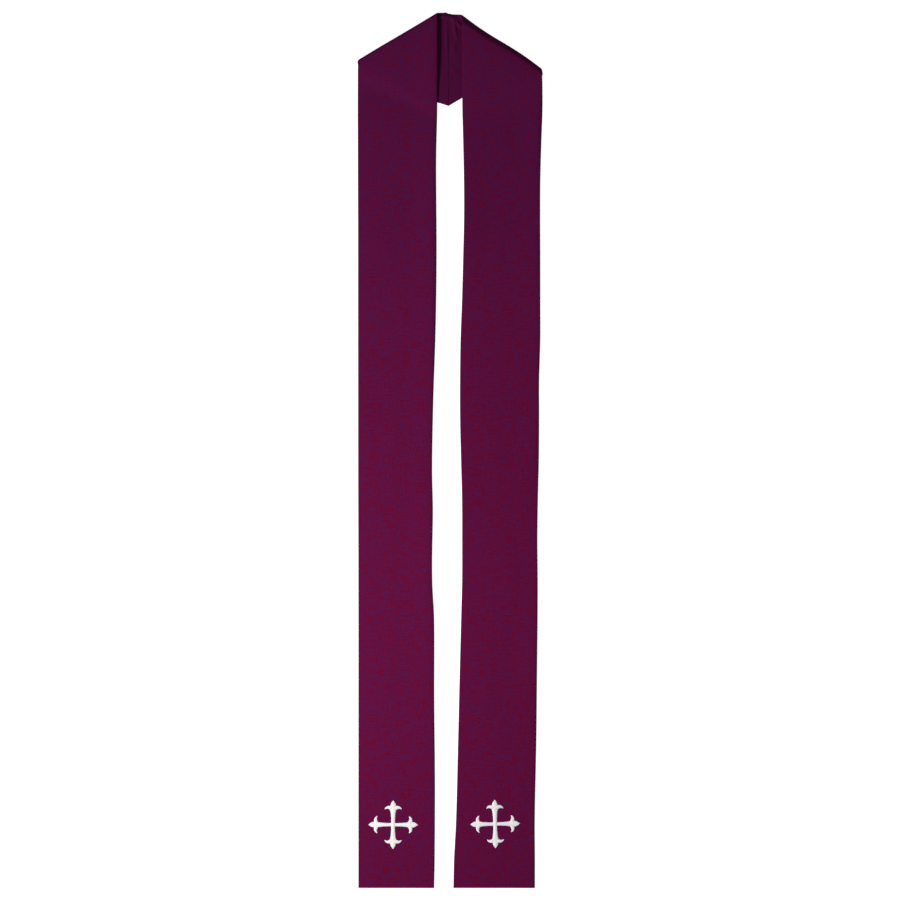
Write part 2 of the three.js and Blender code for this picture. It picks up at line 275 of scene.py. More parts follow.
# An arm's stitched shapes along +X, as the spine's place along and aside, and half the width
STEM = [
    (-0.0025, 0, 0.0030),
    (0.0100, 0, 0.0032),
    (0.0190, 0, 0.0040),
    (0.0240, 0, 0.0050),
    (0.0290, 0, 0.0034),
]
LEAF = [
    (0.0255, 0, 0.0024),
    (0.0294, 0, 0.0042),
    (0.0330, 0, 0.0033),
    (0.0354, 0, 0.0016),
    (0.0370, 0, 0.0003),
]
BARB = [
    (0.0251, 0.0024, 0.0030),
    (0.0262, 0.0056, 0.0028),
    (0.0264, 0.0084, 0.0021),
    (0.0254, 0.0108, 0.0014),
    (0.0238, 0.0127, 0.0003),
]
OTHER_BARB = [(along, -aside, half) for along, aside, half in BARB]

# The shapes in the order they are stitched, with the slant of their threads
SHAPES = [(STEM, 0.25), (LEAF, 0.12), (BARB, 0.3), (OTHER_BARB, -0.3)]

# The hand stitches that hold the lining, from one column of a coarse sheet to another
SLIP_RADIUS = 0.0001
SLIP_SIDES = 6
SLIP_APART = 0.0075
SLIP_LIFTS = (-0.00080, -0.00102, -0.00112)
SLIP_COLUMNS = (4, 6)
SLIP_SHEET_COLUMNS = 4

# The face cloth is woven of two dyes, bluer along the band and redder across it. The crosses'
# thread is nearly white.
WARP_COLOUR = (0.117, 0.0100, 0.098)
WEFT_COLOUR = (0.192, 0.0016, 0.032)
THREAD_COLOUR = (0.975, 0.972, 0.970)

# Noise in the weave, as waves a metre across and along, detail, and strength
WANDER = (70, 70, 2.0, 0.0012)
WEFT_SLUBS = ((40, 900, 2.0, 2.9), (100, 450, 2.0, 1.9))
WARP_SLUBS = ((900, 40, 2.0, 2.2), (450, 100, 2.0, 1.4))
STREAKS = ((80, 5, 2.0, 0.3), (16, 10, 3.0, 0.2))
NOISE_ROUGHNESS = 0.6

# How far the weave's colour leans to the weft: in a weft cell, and how much less it is in a warp
# cell and at the shoulders, between two heights on the band
WEFT_LEAN = 0.72
WARP_LEAN = -0.45
SHOULDER_LEAN = -0.24
SHOULDER_SPAN = (-0.10, 0.65)

# The weave's relief: how far a thread sinks on its way out of a cell, how high a hollow reaches,
# how much rougher it is, how dark its painted shade is, how far a slub stands up, how deep it all
# is
THREAD_SAG = 0.5
HOLLOW_TOP = 0.7
HOLLOW_ROUGHNESS = 0.1
WEAVE_GAP_SHADE = 0.55
SLUB_HEIGHT = 0.5
WEAVE_RELIEF = 0.00012

# A thread's fibres, as waves a metre across and along it, and detail. Over a span of their mean,
# the colour goes from a darker copy of it in the hollows, painted shade, to the full one.
FIBRES = (500, 9000, 2.0)
UNEVEN_FIBRES = (160, 700, 3.0)
FIBRE_SPAN = (0.3, 0.62)
FIBRE_ROUGHNESS = 0.15
FIBRE_RELIEF = 0.00003
HOLLOW_SHADE = 0.90

# Finishes of the cloths and threads. A sheen is a weight, and how bright it is beside the colour.
FACE_FINISH = {"slubs": 1.0, "roughness": 0.85}
LINING_FINISH = {"slubs": 0.6, "roughness": 0.75}
LINING_FINER = 1.5
SEWING_FINISH = {"roughness": 0.7, "gloss": 0.05}
EMBROIDERY_FINISH = {"roughness": 0.36, "gloss": 0.5}
CLOTH_GLOSS = 0.04
CLOTH_SHEEN = (0.06, 2.5)
THREAD_SHEEN = (0.1, 1.0)
SHEEN_ROUGHNESS = 0.5

# The stage
FLOOR_SIZE = 30.0
FLOOR_COLOUR = (0.5, 0.5, 0.5, 1.0)
FLOOR_ROUGHNESS = 0.9
BACKDROP = 0.9
WHITE = (1.0, 1.0, 1.0, 1.0)
# Black, which the colour in the weave's gaps is darkened towards as painted shade
GAP_SHADE_BLACK = (0.0, 0.0, 0.0, 1.0)
KEY_SIZE = 0.4
KEY_COLOUR = (1.0, 0.985, 0.965)
KEY_PLACE = (-0.85, -0.44, 1.10)
KEY_AIM = (-0.15, 0.25, 0.0)
VIEW_WIDTH = 1.3608
LENS_MM = 100.0
SENSOR_MM = 36.0


def mix(a, b, share):
    return a + (b - a) * share


def ease(share):
    t = np.clip(share, 0, 1)
    return t * t * (3 - 2 * t)


def srgb_to_linear(colour):
    return tuple(c / 12.92 if c <= 0.04045 else ((c + 0.055) / 1.055) ** 2.4 for c in colour)


def record_colour(slot):
    """The record's colour for a material slot, as a linear colour."""
    found = next(each for each in frame["record"]["materials"] if each["slot"] == slot)
    return srgb_to_linear(found["base_color"])


def smooth_curve(places, values, at):
    """Values between a table's rows, on a smooth curve through them. The places rise."""
    places, values = np.asarray(places, float), np.asarray(values, float)
    rows = np.arange(len(places))
    before, after = np.maximum(rows - 1, 0), np.minimum(rows + 1, len(places) - 1)
    slopes = (values[after] - values[before]) / (places[after] - places[before])
    at = np.clip(at, places[0], places[-1])
    low = np.clip(np.searchsorted(places, at) - 1, 0, len(places) - 2)
    span = places[low + 1] - places[low]
    t = (at - places[low]) / span
    bend = values[low + 1] - values[low]
    leave, arrive = slopes[low] * span, slopes[low + 1] * span
    return (
        values[low]
        + t * leave
        + t**2 * (3 * bend - 2 * leave - arrive)
        + t**3 * (leave + arrive - 2 * bend)
    )


def edge_x(band, edge, y):
    """A front edge's x at the heights y."""
    columns = list(zip(*reversed(band["front"])))
    return smooth_curve(columns[0], columns[EDGE_COLUMN[edge]], y)


def fold_of(band):
    """The shoulder fold's neck end, directions along it and out from the garment, and length."""
    neck, tip = np.array(band["crest"]["neck"]), np.array(band["crest"]["tip"])
    length = np.linalg.norm(tip - neck)
    along = (tip - neck) / length
    return neck, along, np.array([-along[1], along[0]]) * band["side"], length


def ridges(table, x, y):
    """The height at each point of a table's soft ridges."""
    height = np.zeros_like(x)
    for middle_y, middle_x, rise, length, width, turn in table:
        cos, sin = math.cos(math.radians(turn)), math.sin(math.radians(turn))
        run = (x - middle_x) * cos + (y - middle_y) * sin
        aside = (y - middle_y) * cos - (x - middle_x) * sin
        fade = ease(1 - np.abs(run) / (length / 2)) * ease(1 - np.abs(aside) / (width / 2))
        height += rise * fade
    return height


def raised_by_back(band, x, y):
    """How far the front is raised by the back under it."""
    (tip_x, tip_y), (low_x, low_y) = band["crest"]["tip"], band["knee"]["lower"]
    slope = (low_y - tip_y) / (low_x - tip_x)
    above = (y - tip_y - slope * (x - tip_x)) / math.hypot(1, slope)
    return (BAND + GAP) * ease(1 + (above + BACK_REST) / BACK_EASE)


def raised_by_waves(band, x, y):
    """How far a front edge's small waves lift it, and its rims stand up."""
    height = np.zeros_like(x)
    for middle, edge, rise, length, reach in band["waves"]:
        along = 1 - np.abs(y - middle) / (length / 2)
        inward = 1 - np.abs(x - edge_x(band, edge, y)) / reach
        height += rise * ease(along) * ease(inward)
    for edge, table in band["rims"].items():
        distance = np.abs(x - edge_x(band, edge, y))
        rise = smooth_curve(*zip(*table), y)
        roll = np.sqrt(1 - np.clip(1 - distance / RIM_ROLL, 0, 1) ** 2)
        height += rise * roll * ease(1 - distance / RIM_REACH)
    return height


def front_height(band, x, y):
    """The height of the middle of the front's wall."""
    neck, along, out, length = fold_of(band)
    to_neck = np.clip(1 - (x - neck[0]) / (length * along[0]), 0, 1)
    loop = 2 * mix(band["roll"]["tip"], band["roll"]["neck"], to_neck)
    from_crest = (neck[0] - x) * out[0] + (neck[1] - y) * out[1] - loop / 2 - BAND / 2
    on_back = raised_by_back(band, x, y)
    settle = mix(band["settle"]["tip"], band["settle"]["neck"], to_neck)
    fold = (loop - on_back) * ease(1 - from_crest / settle)
    lifted = raised_by_waves(band, x, y) + ridges(band["ripples"], x, y)
    return BAND / 2 + on_back + fold + lifted


def loop_sizes(band, to_neck):
    """The fold's radius, how far in its ridge lies, and the cloth's length from crest to ridge."""
    radius = mix(band["roll"]["tip"], band["roll"]["neck"], to_neck)
    ridge = mix(band["ridge"]["tip"], band["ridge"]["neck"], to_neck)
    curved = math.pi / 2 * (radius + ridge) / 2
    slope = mix(curved, np.hypot(radius, ridge), band["ridge"]["flatness"])
    return radius, ridge, slope


def roll_row(band, turn, to_neck):
    """Points of the fold's loop, and where they lie in the cloth laid out flat.

    The turn is -90 degrees on the back, 0 at the crest and 90 on the front.
    """
    neck, along, out, length = fold_of(band)
    radius, ridge, slope = loop_sizes(band, to_neck)
    angle = math.radians(turn)
    slant = abs(along[1] / along[0]) * (radius * angle + (ridge - radius) * max(0, turn / 90))
    drift = band["drift"] * to_neck * (1 - math.cos(angle)) if turn < 0 else 0
    run = length * (1 - to_neck) + slant - drift
    start = BAND / 2 - band["sway"] * np.sin(2 * math.pi * to_neck)
    if turn < 0:
        inward, rise = radius * (1 - math.cos(angle)), math.sin(angle)
        left = slope - radius * angle
    else:
        share, flatness = turn / 90, band["ridge"]["flatness"]
        inward = ridge * mix(1 - math.cos(angle), share, flatness)
        rise = mix(math.sin(angle), share, flatness)
        left = slope * (1 - share)
    on_line = neck + np.outer(run, along)
    plan = on_line - np.outer(start + inward, out)
    flat = on_line - np.outer(start + ridge - left, out)
    return np.column_stack([plan, BAND / 2 + radius * (1 + rise)]), flat


def back_row(band, lower, upper, share, to_neck):
    """Points of the back between two lines, and where they lie in the cloth laid out flat."""
    neck, along, out, _ = fold_of(band)
    plan = mix(lower(to_neck), upper(to_neck), share)
    radius, ridge, slope = loop_sizes(band, to_neck)
    start = BAND / 2 - band["sway"] * np.sin(2 * math.pi * to_neck)
    turned = slope + math.pi / 2 * radius - radius - ridge - 2 * start
    run, inward = (plan - neck) @ along, -(plan - neck) @ out
    flat = neck + np.outer(run, along) + np.outer(inward + turned, out)
    return np.column_stack([plan, np.full(len(plan), BAND / 2)]), flat


def front_row(band, outer_y, inner_y, to_neck):
    """Points of the front, and where they lie in the cloth laid out flat."""
    x = mix(edge_x(band, "outer", outer_y), edge_x(band, "inner", inner_y), to_neck)
    y = mix(outer_y, inner_y, to_neck)
    plan = np.column_stack([x, y])
    return np.column_stack([plan, front_height(band, x, y)]), plan


def band_rows(band, hem_y):
    """The rows of a band from the centre seam over the shoulder to the hem.

    Each is a function of the shares of the way from tip to neck, with its distances from the seam
    and from the hem, how far it is turned up to the front, and how far it still lies on the back.
    """
    seam_x = SEAM_X - band["side"] * SEAM_LAP

    def line(lower, upper):
        low, high = np.array(lower), np.array(upper)
        return lambda to_neck: low + np.outer(to_neck, high - low)

    seam = line((seam_x, SEAM_FOOT_Y), (seam_x, SEAM_TOP_Y))
    knee = line(band["knee"]["lower"], band["knee"]["upper"])
    seam_to_knee = abs(band["knee"]["lower"][0] - seam_x)

    def fold_start(to_neck):
        return roll_row(band, -90, to_neck)[0][:, :2]

    ends = np.array([0.0, 1.0])
    knee_to_fold = np.linalg.norm((fold_start(ends) - knee(ends))[0])
    loop_end = roll_row(band, 90, ends)[0][:, 1]
    rows = []

    def add(row, from_seam=FAR, from_hem=FAR, up=1.0, back=0.0):
        rows.append(
            {"row": row, "from_seam": from_seam, "from_hem": from_hem, "up": up, "back": back}
        )

    steps = list(SEAM_STEPS)
    steps += list(np.arange(SEAM_STEPS[-1] + NECK_STEP, seam_to_knee - NECK_STEP / 2, NECK_STEP))
    for distance in steps:
        share = distance / seam_to_knee
        add(lambda t, s=share: back_row(band, seam, knee, s, t), distance, up=0.0, back=1.0)
    for share in np.linspace(0, 1, round(knee_to_fold / STEP) + 1)[:-1]:
        add(lambda t, s=share: back_row(band, knee, fold_start, s, t), up=0.0, back=1.0)
    for turn in np.linspace(-90, 90, ROLL_STEPS + 1):
        back = ease((-turn - CREASES_END) / (90 - CREASES_END))
        add(lambda t, a=turn: roll_row(band, a, t), up=float(ease(turn / 90)), back=float(back))
    for share in np.linspace(0, 1, FAN_STEPS + 1)[1:]:
        outer_y, inner_y = mix(loop_end, FAN_Y, share)
        add(lambda t, o=outer_y, i=inner_y: front_row(band, o, i, t))
    straight = (FAN_Y - hem_y - EDGE_STEPS[-1]) / STEP
    heights = list(np.linspace(FAN_Y, hem_y + EDGE_STEPS[-1], round(straight) + 1)[1:-1])
    heights += [hem_y + step for step in reversed(EDGE_STEPS)]
    for y in heights:
        add(lambda t, y=y: front_row(band, y, y, t), from_hem=y - hem_y)
    return rows


def sheet_grid(band, inset, columns):
    """A layer's points on a band's middle, tip to neck on the left and neck to tip on the right.

    Gives the points, their places in the cloth laid out flat, their distances from the edge and the
    seam, and how far each row is turned up and lies on the back.
    """
    rows = []
    for row in band_rows(band, HEM_Y + inset):
        ends, _ = row["row"](np.array([0.0, 1.0]))
        width = np.linalg.norm(ends[1] - ends[0])
        half = np.array(EDGE_STEPS) + inset
        inner = np.linspace(half[-1], width - half[-1], columns)[1:-1]
        across = np.concatenate([half, inner, (width - half)[::-1]])
        if band["side"] > 0:
            across = across[::-1]
        points, flat = row["row"](across / width)
        aside = np.minimum(across, width - across) - inset
        from_edge = np.minimum(aside, row["from_hem"])
        same = {name: np.full(len(across), row[name]) for name in ("from_seam", "up", "back")}
        rows.append({"points": points, "uv": flat, "from_edge": from_edge, **same})
    grid = {name: np.array([row[name] for row in rows]) for name in rows[0]}
    y = np.clip(grid["uv"][..., 1], band["front"][-1][0], band["front"][0][0])
    grid["uv"][..., 0] -= (edge_x(band, "outer", y) + edge_x(band, "inner", y)) / 2
    return grid


def normals_of(points):
    """The upward normals of a grid of points."""
    rows, columns = np.arange(len(points)), np.arange(points.shape[1])
    after, before = np.minimum(rows + 1, rows[-1]), np.maximum(rows - 1, 0)
    right, left = np.minimum(columns + 1, columns[-1]), np.maximum(columns - 1, 0)
    normals = np.cross(points[after] - points[before], points[:, right] - points[:, left])
    return normals / np.linalg.norm(normals, axis=-1, keepdims=True)


def rounded(distance, reach, depth):
    """How far a rounded edge has dropped at a distance in from it."""
    t = 1 - np.clip(distance / reach, 0, 1)
    return depth * (1 - np.sqrt(1 - t * t))


def face_heights(grid, cloth):
    """The face cloth's two faces: its edges are turned round the interlining into a bead."""
    edge, seam = grid["from_edge"], grid["from_seam"]
    slope = cloth.turning * TURNING_SLOPE
    allowance = cloth.ridge * grid["up"] * ease((cloth.turning - edge) / slope)
    top = FACE_TOP + allowance - rounded(edge, cloth.edge_reach, FACE_TOP - FACE_EDGE)
    bead = BEAD_BOTTOM + rounded(edge, BEAD_WIDTH, FACE_EDGE - BEAD_BOTTOM)
    bottom = mix(bead, FACE_BOTTOM, ease((edge - BEAD_WIDTH) / (BEAD_REACH - BEAD_WIDTH)))
    half = FACE_WALL / 2
    return (
        np.minimum(top, FACE_TOP - rounded(seam, half, half)),
        np.maximum(bottom, FACE_BOTTOM + rounded(seam, half, half)),
    )


def lining_heights(grid, dip):
    """The lining's two faces, with its dip into the centre seam and its creases at the neck."""
    edge, seam = grid["from_edge"], grid["from_seam"]
    half, rest = LINING_WALL / 2, LINING_WALL - SEAM_DEPTH
    at_edge = rounded(edge, half, half)
    top = LINING_TOP - np.maximum(at_edge, rounded(seam, rest, rest))
    bottom = LINING_BOTTOM + np.maximum(at_edge, rounded(seam, dip, SEAM_DEPTH))
    bottom = np.minimum(bottom, top)
    near = np.minimum(edge, seam)
    x, y = grid["points"][..., 0], grid["points"][..., 1]
    creases = ridges(NECK_CREASES, x, y) * ease(near / half) * grid["back"]
    return top, bottom - creases


def wall_object(name, grid, top, bottom, material):
    """A closed sheet between two heights from a grid's points. They meet all round its edge."""
    points, uv = grid["points"], grid["uv"]
    rows, columns = points.shape[:2]
    normals = normals_of(points)
    inner = np.zeros((rows, columns), bool)
    inner[1:-1, 1:-1] = True
    middle = (top + bottom) / 2
    top = np.where(inner, top, middle)
    above = points + normals * top[..., None]
    below = (points + normals * bottom[..., None])[inner]
    vertices = np.concatenate([above.reshape(-1, 3), below])
    top_index = np.arange(rows * columns).reshape(rows, columns)
    bottom_index = top_index.copy()
    bottom_index[inner] = rows * columns + np.arange(inner.sum())

    def quads(index, flipped):
        a, b, c, d = index[:-1, :-1], index[1:, :-1], index[1:, 1:], index[:-1, 1:]
        order = (a, d, c, b) if flipped else (a, b, c, d)
        return np.stack(order, axis=-1).reshape(-1, 4)

    faces = np.concatenate([quads(top_index, False), quads(bottom_index, True)])
    vertex_uv = np.concatenate([uv.reshape(-1, 2), uv[inner]])
    return mesh_object(name, vertices, faces, vertex_uv, material)


def mesh_object(name, vertices, faces, vertex_uv, material):
    """A smooth mesh from arrays of points and faces, with its places in the cloth as a UV map."""
    mesh = bpy.data.meshes.new(name)
    mesh.from_pydata(vertices.tolist(), [], [list(face) for face in faces])
    corners = np.zeros(len(mesh.loops), int)
    mesh.loops.foreach_get("vertex_index", corners)
    layer = mesh.uv_layers.new(name="cloth")
    layer.data.foreach_set("uv", vertex_uv[corners].ravel())
    mesh.polygons.foreach_set("use_smooth", np.ones(len(mesh.polygons), bool))
    mesh.materials.append(material)
    mesh.update()
    piece = bpy.data.objects.new(name, mesh)
    bpy.context.scene.collection.objects.link(piece)
    return piece


def surface_height(side, x, y):
    """The height of the top of the face cloth on a front."""
    return front_height(BANDS[side], x, y) + FACE_TOP


def stitched_loft(table, crown, stitch, slant):
    """A satin-stitched shape: a dome along its spine, ridged by its threads, on a flat base."""
    along, aside, half = np.array(table, float).T
    run = np.concatenate([[0], np.cumsum(np.hypot(np.diff(along), np.diff(aside)))])
    steps = int(run[-1] / stitch * STEPS_PER_STITCH)
    at = np.linspace(0, run[-1], steps + 1)
    spine = np.column_stack([smooth_curve(run, along, at), smooth_curve(run, aside, at)])
    heading = np.gradient(spine, axis=0)
    heading /= np.linalg.norm(heading, axis=1, keepdims=True)
    width = smooth_curve(run, half, at)
    rise = crown * np.minimum(1, 2 * width / FULL_CROWN_WIDTH)
    angle = np.linspace(0, math.pi, DOME_STEPS + 1)
    offset = np.outer(width, np.cos(angle))
    thread = 0.5 + 0.5 * np.cos(2 * math.pi * (at[:, None] + slant * offset) / stitch)
    depth = stitch * HOLLOW_DEPTH * np.minimum(1, width[:, None] / (2 * stitch))
    height = OUTLINE_LIFT + np.outer(rise, np.sin(angle)) - depth * (1 - thread)
    offset = offset * (1 - HOLLOW_WIDTH * (1 - thread))
    ring_offset = np.column_stack([offset[:, 0], offset, offset[:, -1]])
    ring_height = np.column_stack([np.zeros(len(at)), height, np.zeros(len(at))])
    x = spine[:, :1] - heading[:, 1:] * ring_offset
    y = spine[:, 1:] + heading[:, :1] * ring_offset
    vertices = np.stack([x, y, ring_height], axis=-1)
    uv = np.stack([ring_offset, np.broadcast_to(at[:, None], ring_offset.shape)], axis=-1)
    around = ring_offset.shape[1]
    faces = []
    for i in range(steps):
        for j in range(around):
            a, b = i * around + j, i * around + (j + 1) % around
            faces.append((a, b, b + around, a + around))
    last = steps * around
    faces.append(tuple(reversed(range(around))))
    faces.append(tuple(range(last, last + around)))
    return vertices.reshape(-1, 3), faces, uv.reshape(-1, 2)


def cross_object(side, sizes, material):
    """A cross of satin stitch, laid on its band."""
    vertices, faces, places = [], [], []
    count = 0
    at_x, at_y = CROSSES[side]["at"]
    for arm in ARMS:
        stretch = arm["length"] / ARM_DRAWN
        turn = math.radians(arm["turn"] + CROSSES[side]["turn"])
        cos, sin = math.cos(turn), math.sin(turn)
        for table, slant in SHAPES:
            slim = arm["stem"] if table is STEM else 1.0
            rows = [(along * stretch, aside, half * slim) for along, aside, half in table]
            loft, loft_faces, uv = stitched_loft(rows, arm["crown"], sizes.stitch, slant)
            x = loft[:, 0] * cos - loft[:, 1] * sin + at_x
            y = loft[:, 0] * sin + loft[:, 1] * cos + at_y
            z = loft[:, 2] + surface_height(side, x, y) - SUNK
            vertices.append(np.column_stack([x, y, z]))
            faces += [tuple(count + i for i in face) for face in loft_faces]
            places.append(uv)
            count += len(loft)
    return mesh_object(
        f"{side}_cross_stitching", np.concatenate(vertices), faces, np.concatenate(places), material
    )


def slip_stitch_object(side, material):
    """The hand stitches that catch the lining's edge to the turned edge of the face cloth."""
    points = sheet_grid(BANDS[side], 0.0, SLIP_SHEET_COLUMNS)["points"]
    points, normals = (each[len(SEAM_STEPS):] for each in (points, normals_of(points)))
    last = points.shape[1] - 1
    circle = np.linspace(0, 2 * math.pi, SLIP_SIDES, endpoint=False)
    rings_in_stitch = len(SLIP_LIFTS)
    vertices, faces, places = [], [], []
    for mirror in (False, True):
        from_column, to_column = (last - c if mirror else c for c in SLIP_COLUMNS)
        edge = points[:-len(EDGE_STEPS), from_column]
        run = np.concatenate([[0], np.cumsum(np.linalg.norm(np.diff(edge, axis=0), axis=1))])
        for i in np.flatnonzero(np.diff(np.floor(run / SLIP_APART))):
            start, end = points[i, from_column], points[i + 1, to_column]
            up, length = normals[i, from_column], np.linalg.norm(end - start)
            aside = np.cross((end - start) / length, up)
            base = len(vertices) * SLIP_SIDES
            ring = SLIP_RADIUS * (np.outer(np.cos(circle), aside) + np.outer(np.sin(circle), up))
            shares = np.linspace(0, 1, rings_in_stitch)
            for share, lift in zip(shares, SLIP_LIFTS):
                vertices.append(mix(start, end, share) + up * lift + ring)
            for j in range((rings_in_stitch - 1) * SLIP_SIDES):
                a, b = base + j, base + j - j % SLIP_SIDES + (j + 1) % SLIP_SIDES
                faces.append((a, a + SLIP_SIDES, b + SLIP_SIDES, b))
            far = base + (rings_in_stitch - 1) * SLIP_SIDES
            faces.append(tuple(range(base, base + SLIP_SIDES)))
            faces.append(tuple(reversed(range(far, far + SLIP_SIDES))))
            around = np.tile(circle * SLIP_RADIUS, rings_in_stitch)
            places.append(np.column_stack([np.repeat(shares * length, SLIP_SIDES), around]))
    return mesh_object(
        f"{side}_slip_stitches", np.concatenate(vertices), faces, np.concatenate(places), material
    )


class Nodes:
    """Adds nodes to a tree and joins them."""

    def __init__(self, tree):
        self.tree = tree

    def fill(self, node, inputs):
        """Gives a node's inputs their values, or joins them to other nodes' outputs."""
        for key, value in inputs.items():
            if isinstance(value, bpy.types.NodeSocket):
                self.tree.links.new(value, node.inputs[key])
            else:
                node.inputs[key].default_value = value
        return node

    def add(self, kind, inputs=None, **settings):
        node = self.tree.nodes.new(kind)
        for name, value in settings.items():
            setattr(node, name, value)
        return self.fill(node, inputs or {})

    def math(self, operation, a, b=0.0, c=0.0):
        return self.add("ShaderNodeMath", {0: a, 1: b, 2: c}, operation=operation).outputs[0]

    def stretched(self, vector, across, along):
        """A vector with its two directions scaled."""
        inputs = {0: vector, 1: (across, along, 1.0)}
        return self.add("ShaderNodeVectorMath", inputs, operation="MULTIPLY").outputs[0]

    def noise(self, vector, detail=2.0, roughness=0.5):
        inputs = {"Vector": vector, "Scale": 1.0, "Detail": detail, "Roughness": roughness}
        return self.add("ShaderNodeTexNoise", inputs).outputs["Fac"]

    def between(self, value, low, high):
        """A value spread from 0 at low to 1 at high."""
        inputs = {"Value": value, "From Min": low, "From Max": high}
        return self.add("ShaderNodeMapRange", inputs, interpolation_type="SMOOTHSTEP").outputs[0]

    def blend(self, share, a, b):
        """A colour between two others."""
        node = self.add("ShaderNodeMix", {"Factor": share}, data_type="RGBA")
        colours = [i for i, socket in enumerate(node.inputs) if socket.type == "RGBA"]
        self.fill(node, dict(zip(colours, (a, b))))
        return next(socket for socket in node.outputs if socket.type == "RGBA")


def new_group(name, inputs):
    """A finish as a shader node group with named sockets, and the nodes that hold them."""
    group = bpy.data.node_groups.new(name, "ShaderNodeTree")
    for label, kind, default in inputs:
        socket = group.interface.new_socket(label, in_out="INPUT", socket_type=f"NodeSocket{kind}")
        if default is not None:
            socket.default_value = default
    for label, kind in (("Colour", "Color"), ("Roughness", "Float"), ("Height", "Float")):
        group.interface.new_socket(label, in_out="OUTPUT", socket_type=f"NodeSocket{kind}")
    nodes = Nodes(group)
    return group, nodes, nodes.add("NodeGroupInput"), nodes.add("NodeGroupOutput")


def plain_weave_group():
    """A plain weave of two dyes with slubs, as colour, roughness and height by place in metres."""
    if "plain weave" in bpy.data.node_groups:
        return bpy.data.node_groups["plain weave"]
    group, nodes, given, out = new_group(
        "plain weave",
        [
            ("Place", "Vector", None),
            ("Threads per metre", "Float", 2000.0),
            ("Warp", "Color", (0.1, 0.01, 0.07, 1.0)),
            ("Weft", "Color", (0.15, 0.0, 0.03, 1.0)),
            ("Gap shade", "Float", 0.5),
            ("Slubs", "Float", 1.0),
            ("Roughness", "Float", 0.8),
        ],
    )
    place = given.outputs["Place"]

    def swing(across, along, detail, strength):
        """Noise round zero, from places stretched by so many waves a metre each way."""
        noise = nodes.noise(nodes.stretched(place, across, along), detail, NOISE_ROUGHNESS)
        return nodes.math("MULTIPLY", nodes.math("SUBTRACT", noise, 0.5), strength)

    wander = swing(*WANDER)
    split = nodes.add("ShaderNodeSeparateXYZ", {0: place}).outputs
    pitch = given.outputs["Threads per metre"]
    across = nodes.math("MULTIPLY", nodes.math("ADD", split[0], wander), pitch)
    along = nodes.math("MULTIPLY", nodes.math("ADD", split[1], wander), pitch)
    warp = nodes.math("ABSOLUTE", nodes.math("SINE", nodes.math("MULTIPLY", across, math.pi)))
    weft = nodes.math("ABSOLUTE", nodes.math("SINE", nodes.math("MULTIPLY", along, math.pi)))
    cells = nodes.math("ADD", nodes.math("FLOOR", across), nodes.math("FLOOR", along))
    warp_on_top = nodes.math("PINGPONG", cells, 1.0)
    sag = (THREAD_SAG, 1 - THREAD_SAG)
    warp_high = nodes.math("MULTIPLY", warp, nodes.math("MULTIPLY_ADD", weft, *sag))
    weft_high = nodes.math("MULTIPLY", weft, nodes.math("MULTIPLY_ADD", warp, *sag))
    difference = nodes.math("SUBTRACT", warp_high, weft_high)
    weave = nodes.math("MULTIPLY_ADD", warp_on_top, difference, weft_high)

    noises = (WEFT_SLUBS, WARP_SLUBS, STREAKS)
    weft_slubs, warp_slubs, streaks = (
        nodes.math("ADD", *(swing(*row) for row in rows)) for rows in noises
    )
    shoulder = nodes.math("MULTIPLY", nodes.between(split[1], *SHOULDER_SPAN), SHOULDER_LEAN)
    slubs = nodes.math("SUBTRACT", weft_slubs, warp_slubs)
    slubs = nodes.math("MULTIPLY", slubs, given.outputs["Slubs"])
    lean = nodes.math("MULTIPLY_ADD", warp_on_top, WARP_LEAN, WEFT_LEAN)
    for more in (slubs, streaks, shoulder):
        lean = nodes.math("ADD", lean, more)
    share = nodes.add("ShaderNodeClamp", {"Value": lean}).outputs[0]
    hue = nodes.blend(share, given.outputs["Warp"], given.outputs["Weft"])
    # The hollows between threads are rougher, and their colour is darkened towards black as painted
    # shade.
    hollow = nodes.math("SUBTRACT", 1.0, nodes.between(weave, 0.0, HOLLOW_TOP))
    gap_shade = nodes.math("MULTIPLY", hollow, given.outputs["Gap shade"])
    colour = nodes.blend(gap_shade, hue, GAP_SHADE_BLACK)
    rough = nodes.math("MULTIPLY_ADD", hollow, HOLLOW_ROUGHNESS, given.outputs["Roughness"])
    thick = nodes.math("MAXIMUM", weft_slubs, warp_slubs)
    height = nodes.math("MULTIPLY_ADD", thick, SLUB_HEIGHT, weave)
    nodes.fill(out, {"Colour": colour, "Roughness": rough, "Height": height})
    return group


def spun_thread_group():
    """Thread seen close: fine fibres that run along it, as colour, roughness and height."""
    if "spun thread" in bpy.data.node_groups:
        return bpy.data.node_groups["spun thread"]
    group, nodes, given, out = new_group(
        "spun thread",
        [
            ("Place", "Vector", None),
            ("Thread", "Color", (0.8, 0.8, 0.8, 1.0)),
            ("Hollow shade", "Color", (0.6, 0.6, 0.6, 1.0)),
            ("Roughness", "Float", 0.4),
        ],
    )
    place = given.outputs["Place"]
    fibres, uneven = (
        nodes.noise(nodes.stretched(place, across, along), detail)
        for across, along, detail in (FIBRES, UNEVEN_FIBRES)
    )
    mean = nodes.math("MULTIPLY_ADD", fibres, 0.5, nodes.math("MULTIPLY", uneven, 0.5))
    # Where the fibres lie low, the colour goes towards its darker copy: painted shade in the
    # hollows.
    share = nodes.between(mean, *FIBRE_SPAN)
    colour = nodes.blend(share, given.outputs["Hollow shade"], given.outputs["Thread"])
    rough = nodes.math("MULTIPLY_ADD", uneven, FIBRE_ROUGHNESS, given.outputs["Roughness"])
    nodes.fill(out, {"Colour": colour, "Roughness": rough, "Height": fibres})
    return group


